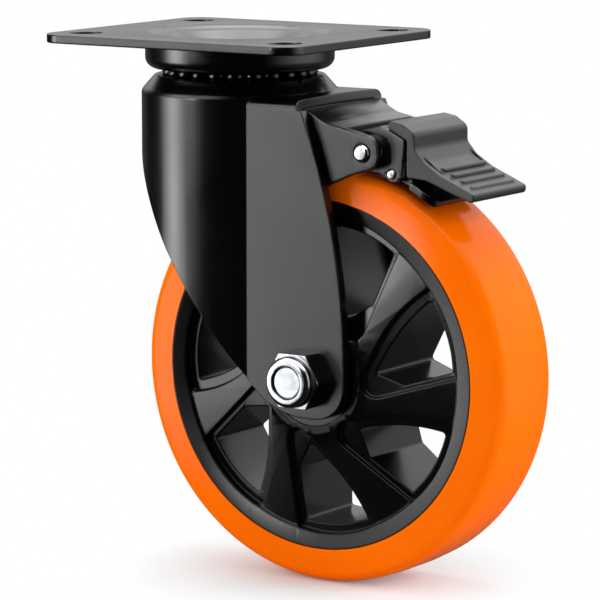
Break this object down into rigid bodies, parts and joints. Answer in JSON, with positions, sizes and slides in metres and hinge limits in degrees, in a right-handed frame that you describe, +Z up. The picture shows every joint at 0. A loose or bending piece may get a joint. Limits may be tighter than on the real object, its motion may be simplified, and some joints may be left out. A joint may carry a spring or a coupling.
{
  "type": "swivel castor with foot brake",
  "caption": "Plate-mounted swivel castor with a pressed steel fork, a solid polyurethane tyre on a windowed hub, and a foot brake behind the wheel.",
  "frame": {"origin": "centre of the mounting plate's top face, on the swivel axis", "axes": "+Z up, along the swivel axis out of the plate; +X towards the trailing side with the brake; the wheel's axle lies along Y, with the axle nut on the -Y side"},
  "size_m": [0.1743, 0.098, 0.1928],
  "materials": {
    "painted_steel": "semi-gloss",
    "zinc_steel": "bright",
    "bearing_steel": "polished",
    "nylon": "satin",
    "pedal_plastic": "satin",
    "polyurethane": "gloss",
    "seal_rubber": "matte"
  },
  "bodies": {
    "plate": {"top_plate": "painted_steel", "upper_race": "painted_steel", "kingpin": "painted_steel", "lower_race": "zinc_steel", "kingpin_washer": "zinc_steel", "kingpin_nut": "zinc_steel"},
    "upper_ball_ring": {"upper_balls": "bearing_steel"},
    "lower_ball_ring": {"lower_balls": "bearing_steel"},
    "fork": {"fork": "painted_steel", "brake_bracket": "painted_steel", "axle_bolt": "zinc_steel", "axle_nut": "zinc_steel", "axle_sleeve": "zinc_steel", "axle_spacer_left": "zinc_steel", "axle_spacer_right": "zinc_steel", "bearing_inner_left": "bearing_steel", "bearing_inner_right": "bearing_steel", "pivot_pin": "zinc_steel", "pivot_washer_left": "zinc_steel", "pivot_washer_right": "zinc_steel"},
    "wheel": {"hub": "nylon", "tyre": "polyurethane", "bearing_outer_left": "bearing_steel", "bearing_outer_right": "bearing_steel", "bearing_shield_left": "seal_rubber", "bearing_shield_right": "seal_rubber"},
    "lever": {"lever_frame": "painted_steel", "pedal_cover": "pedal_plastic", "shoe_pin": "zinc_steel"},
    "shoe": {"brake_shoe": "painted_steel"}
  },
  "joints": [
    {"name": "swivel", "type": "hinge", "parent": "plate", "child": "fork", "pos_m": [0, 0, 0], "axis": [0, 0, 1], "continuous": true},
    {"name": "upper_balls_roll", "type": "hinge", "parent": "plate", "child": "upper_ball_ring", "pos_m": [0, 0, -0.014], "axis": [0, 0, 1], "continuous": true},
    {"name": "lower_balls_roll", "type": "hinge", "parent": "plate", "child": "lower_ball_ring", "pos_m": [0, 0, -0.0209], "axis": [0, 0, 1], "continuous": true},
    {"name": "wheel_spin", "type": "hinge", "parent": "fork", "child": "wheel", "pos_m": [0.0453, 0, -0.1178], "axis": [0, 1, 0], "continuous": true},
    {"name": "brake_pedal", "type": "hinge", "parent": "fork", "child": "lever", "pos_m": [0.0669, 0, -0.0376], "axis": [0, 1, 0], "range_deg": [0, 7]},
    {"name": "shoe_tilt", "type": "hinge", "parent": "lever", "child": "shoe", "pos_m": [0.0756, 0, -0.0449], "axis": [0, 1, 0], "range_deg": [-7, 0]}
  ],
  "couplings": [
    {"joint": "upper_balls_roll", "follows": "swivel", "ratio": 0.5},
    {"joint": "lower_balls_roll", "follows": "swivel", "ratio": 0.5},
    {"joint": "shoe_tilt", "follows": "brake_pedal", "ratio": -1}
  ]
}
